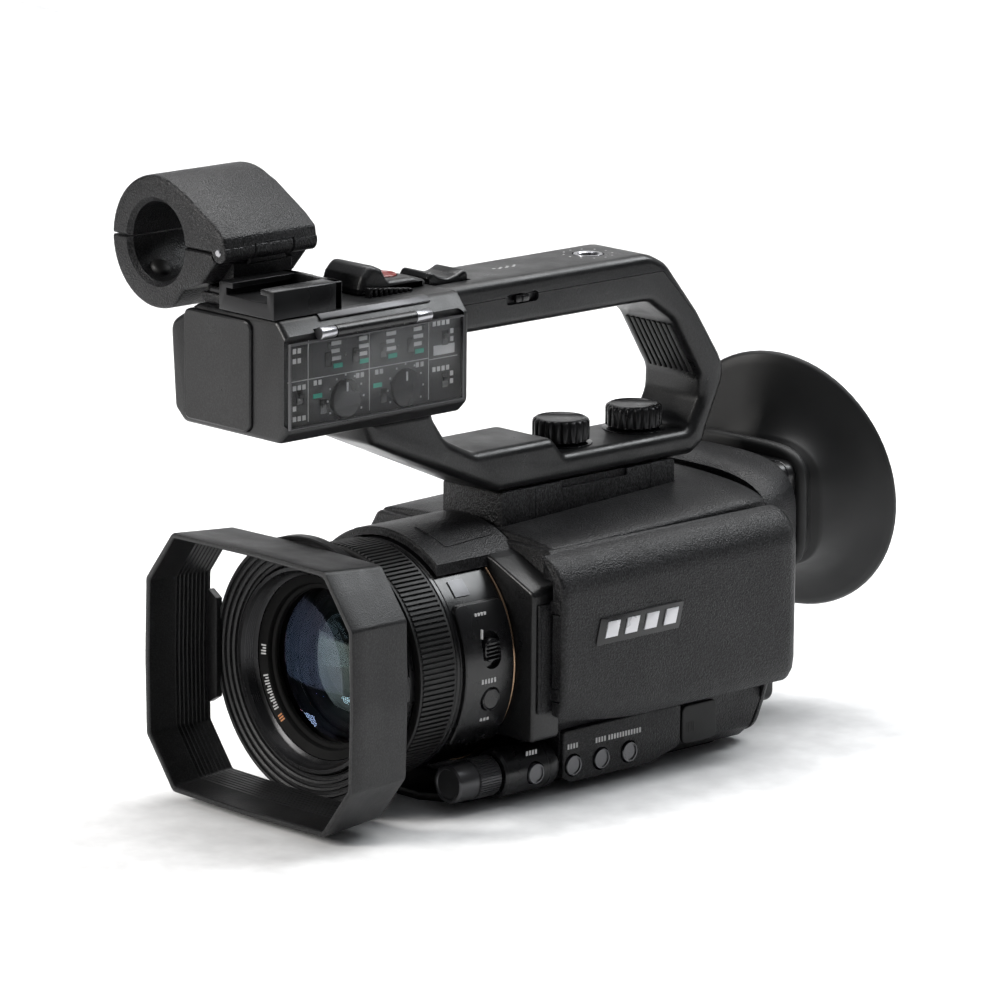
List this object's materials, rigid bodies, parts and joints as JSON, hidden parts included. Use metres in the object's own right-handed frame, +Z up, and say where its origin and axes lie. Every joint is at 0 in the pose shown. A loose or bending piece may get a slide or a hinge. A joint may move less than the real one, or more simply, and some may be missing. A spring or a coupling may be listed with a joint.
{
  "type": "camcorder",
  "caption": "Handheld professional camcorder with lens hood, side screen, rear eyecup, detachable top handle with audio box, and microphone holder",
  "frame": {"origin": "centre of the tripod socket's mouth in the flat base", "axes": "+Z up out of the top, -Y the way the lens looks, +X the side with the screen"},
  "size_m": [0.1165, 0.2653, 0.2004],
  "materials": {
    "grained_black": "coarse leather-like moulded grain, satin black",
    "smooth_black": "smooth fine-textured satin black",
    "black_metal": "black anodised or painted metal",
    "rubber_black": "dull black rubber",
    "webbing_black": "woven black webbing over padding",
    "steel": "bright machined steel",
    "bronze_metal": "warm bronze anodised band",
    "spun_button": "dark spun metal with fine rings",
    "clear_plastic": "clear moulded plastic",
    "coated_glass": "clear glass with a violet and green coating",
    "red_plastic": "translucent red",
    "screen_glass": "dark display glass",
    "board_green": "circuit board lacquer"
  },
  "bodies": {
    "camera_body": {"filter_ring": "black_metal", "name_ring": "black_metal", "front_lens": "coated_glass", "inner_lens_tube": "smooth_black", "image_sensor": "board_green", "lens_barrel": "black_metal", "accent_ring": "bronze_metal", "lens_top_cover": "grained_black", "front_housing": "grained_black", "left_casing": "grained_black", "right_casing": "grained_black", "top_cover": "grained_black", "base_plate": "smooth_black", "base_screws": "steel", "tripod_socket": "steel", "rear_housing": "grained_black", "main_board": "board_green", "lcd_hinge": "grained_black", "control_panel": "grained_black", "dial_pod": "smooth_black", "hand_strap": "webbing_black", "shoe_foot": "grained_black", "handle_frame": "smooth_black", "handle_top_cover": "smooth_black", "handle_thread_insert": "steel", "cold_shoe": "black_metal", "xlr_box": "smooth_black", "xlr_front_cover": "smooth_black", "xlr_jacks": "black_metal", "audio_switches": "smooth_black", "mic_holder_base": "smooth_black", "mic_holder_pin": "steel", "mic_pads": "rubber_black"},
    "hood_group": {"hood": "smooth_black"},
    "focus_ring_group": {"focus_ring": "rubber_black"},
    "zoom_focus_switch_group": {"zoom_focus_switch": "smooth_black"},
    "focus_mode_button_group": {"focus_mode_button": "smooth_black"},
    "battery_group": {"battery_pack": "smooth_black"},
    "lcd_group": {"lcd_panel_shell": "grained_black", "lcd_screen": "screen_glass"},
    "menu_dial_group": {"menu_dial": "black_metal"},
    "menu_button_group": {"menu_button": "spun_button"},
    "iris_button_group": {"iris_button": "spun_button"},
    "gain_button_group": {"gain_button": "spun_button"},
    "shutter_button_group": {"shutter_button": "spun_button"},
    "jack_cover_group": {"jack_cover": "rubber_black"},
    "viewfinder_group": {"viewfinder_tube": "smooth_black", "eyepiece_lens": "coated_glass", "eyecup": "rubber_black"},
    "grip_zoom_lever_group": {"grip_zoom_lever": "smooth_black"},
    "record_button_group": {"record_button": "red_plastic"},
    "handle_zoom_rocker_group": {"handle_zoom_rocker": "smooth_black"},
    "handle_record_button_group": {"handle_record_button": "red_plastic"},
    "hold_switch_group": {"hold_switch": "smooth_black"},
    "audio_dial_1_group": {"audio_dial_1": "smooth_black"},
    "audio_dial_2_group": {"audio_dial_2": "smooth_black"},
    "audio_cover_group": {"audio_cover": "clear_plastic"},
    "mic_holder_cap_group": {"mic_holder_cap": "smooth_black"},
    "front_knob_group": {"front_mount_knob": "black_metal"},
    "rear_knob_group": {"rear_mount_knob": "black_metal"}
  },
  "joints": [
    {"name": "hood_bayonet_turn", "type": "hinge", "parent": "camera_body", "child": "hood_group", "pos_m": [0, -0.08, 0.045], "axis": [0, 1, 0], "range_deg": [0, 45]},
    {"name": "focus_ring_turn", "type": "hinge", "parent": "camera_body", "child": "focus_ring_group", "pos_m": [0, -0.064, 0.045], "axis": [0, 1, 0], "continuous": true},
    {"name": "zoom_focus_switch_slide", "type": "slide", "parent": "camera_body", "child": "zoom_focus_switch_group", "axis": [0, 0, 1], "range_m": [-0.002, 0.002]},
    {"name": "focus_mode_press", "type": "slide", "parent": "camera_body", "child": "focus_mode_button_group", "axis": [-1, 0, 0], "range_m": [0, 0.0008], "stiffness_N_per_m": 400},
    {"name": "battery_unlatch_slide", "type": "slide", "parent": "camera_body", "child": "battery_group", "axis": [0, 0, -1], "range_m": [0, 0.0065]},
    {"name": "screen_open", "type": "hinge", "parent": "camera_body", "child": "lcd_group", "pos_m": [0.0485, -0.0228, 0.05], "axis": [0, 0, -1], "range_deg": [0, 90]},
    {"name": "menu_dial_turn", "type": "hinge", "parent": "camera_body", "child": "menu_dial_group", "pos_m": [0.033, -0.047, 0.0098], "axis": [0, 1, 0], "continuous": true},
    {"name": "menu_button_press", "type": "slide", "parent": "camera_body", "child": "menu_button_group", "axis": [-1, 0, 0], "range_m": [0, 0.0007], "stiffness_N_per_m": 400},
    {"name": "iris_button_press", "type": "slide", "parent": "camera_body", "child": "iris_button_group", "axis": [-1, 0, 0], "range_m": [0, 0.0007], "stiffness_N_per_m": 400},
    {"name": "gain_button_press", "type": "slide", "parent": "camera_body", "child": "gain_button_group", "axis": [-1, 0, 0], "range_m": [0, 0.0007], "stiffness_N_per_m": 400},
    {"name": "shutter_button_press", "type": "slide", "parent": "camera_body", "child": "shutter_button_group", "axis": [-1, 0, 0], "range_m": [0, 0.0007], "stiffness_N_per_m": 400},
    {"name": "jack_cover_open", "type": "hinge", "parent": "camera_body", "child": "jack_cover_group", "pos_m": [0.0403, 0.048, 0.0067], "axis": [0, 1, 0], "range_deg": [0, 105]},
    {"name": "viewfinder_pull_out", "type": "slide", "parent": "camera_body", "child": "viewfinder_group", "axis": [0, 1, 0], "range_m": [0, 0.016]},
    {"name": "grip_zoom_rock", "type": "hinge", "parent": "camera_body", "child": "grip_zoom_lever_group", "pos_m": [-0.033, 0.02, 0.085], "axis": [0, 0, 1], "range_deg": [-10, 10], "stiffness_Nm_per_rad": 0.02},
    {"name": "record_press", "type": "slide", "parent": "camera_body", "child": "record_button_group", "axis": [0, -1, 0], "range_m": [0, 0.0009], "stiffness_N_per_m": 400},
    {"name": "handle_zoom_rock", "type": "hinge", "parent": "camera_body", "child": "handle_zoom_rocker_group", "pos_m": [0, -0.0325, 0.1606], "axis": [1, 0, 0], "range_deg": [-5, 5], "stiffness_Nm_per_rad": 0.03},
    {"name": "handle_record_press", "type": "slide", "parent": "camera_body", "child": "handle_record_button_group", "axis": [0, 0, -1], "range_m": [0, 0.0009], "stiffness_N_per_m": 500},
    {"name": "hold_switch_slide", "type": "slide", "parent": "camera_body", "child": "hold_switch_group", "axis": [0, 1, 0], "range_m": [-0.0035, 0.0035]},
    {"name": "audio_dial_1_turn", "type": "hinge", "parent": "camera_body", "child": "audio_dial_1_group", "pos_m": [0.022, -0.0914, 0.1364], "axis": [1, 0, 0], "range_deg": [-150, 150]},
    {"name": "audio_dial_2_turn", "type": "hinge", "parent": "camera_body", "child": "audio_dial_2_group", "pos_m": [0.022, -0.0669, 0.1364], "axis": [1, 0, 0], "range_deg": [-150, 150]},
    {"name": "audio_cover_open", "type": "hinge", "parent": "camera_body", "child": "audio_cover_group", "pos_m": [0.0262, -0.0814, 0.1583], "axis": [0, -1, 0], "range_deg": [0, 90]},
    {"name": "mic_holder_open", "type": "hinge", "parent": "camera_body", "child": "mic_holder_cap_group", "pos_m": [-0.0042, -0.099, 0.1803], "axis": [0, 1, 0], "range_deg": [0, 100]},
    {"name": "front_knob_turn", "type": "hinge", "parent": "camera_body", "child": "front_knob_group", "pos_m": [0, 0.0238, 0.106], "axis": [0, 0, 1], "continuous": true},
    {"name": "rear_knob_turn", "type": "hinge", "parent": "camera_body", "child": "rear_knob_group", "pos_m": [0, 0.0566, 0.106], "axis": [0, 0, 1], "continuous": true}
  ]
}
